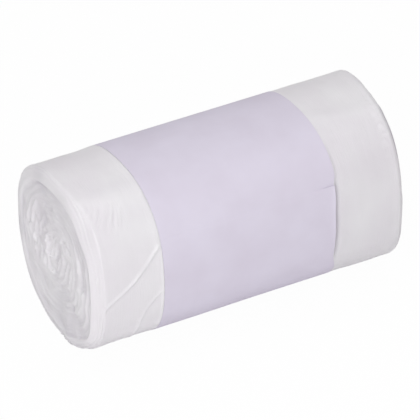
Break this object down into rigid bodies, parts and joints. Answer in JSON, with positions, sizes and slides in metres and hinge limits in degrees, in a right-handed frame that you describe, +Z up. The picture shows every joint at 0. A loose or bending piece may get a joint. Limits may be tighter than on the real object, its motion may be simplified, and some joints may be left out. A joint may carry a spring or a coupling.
{
  "type": "bin bag roll",
  "caption": "Soft coreless roll of white bin bags, wound from one folded strip of thin film, held by a plain lilac paper band.",
  "frame": {"origin": "on the ground, under the centre of the box round the whole roll", "axes": "+X along the roll's axis, away from the end whose spiral the picture shows; +Y towards the back; +Z up"},
  "size_m": [0.1281, 0.065, 0.0644],
  "materials": {
    "white_film": "thin white high-density polyethylene film in tight turns, slightly translucent, with a soft sheen and fine creases",
    "lilac_paper": "plain uncoated pale lilac paper"
  },
  "bodies": {
    "root": {"bag_strip_roll": "white_film", "paper_band": "lilac_paper"}
  },
  "joints": []
}
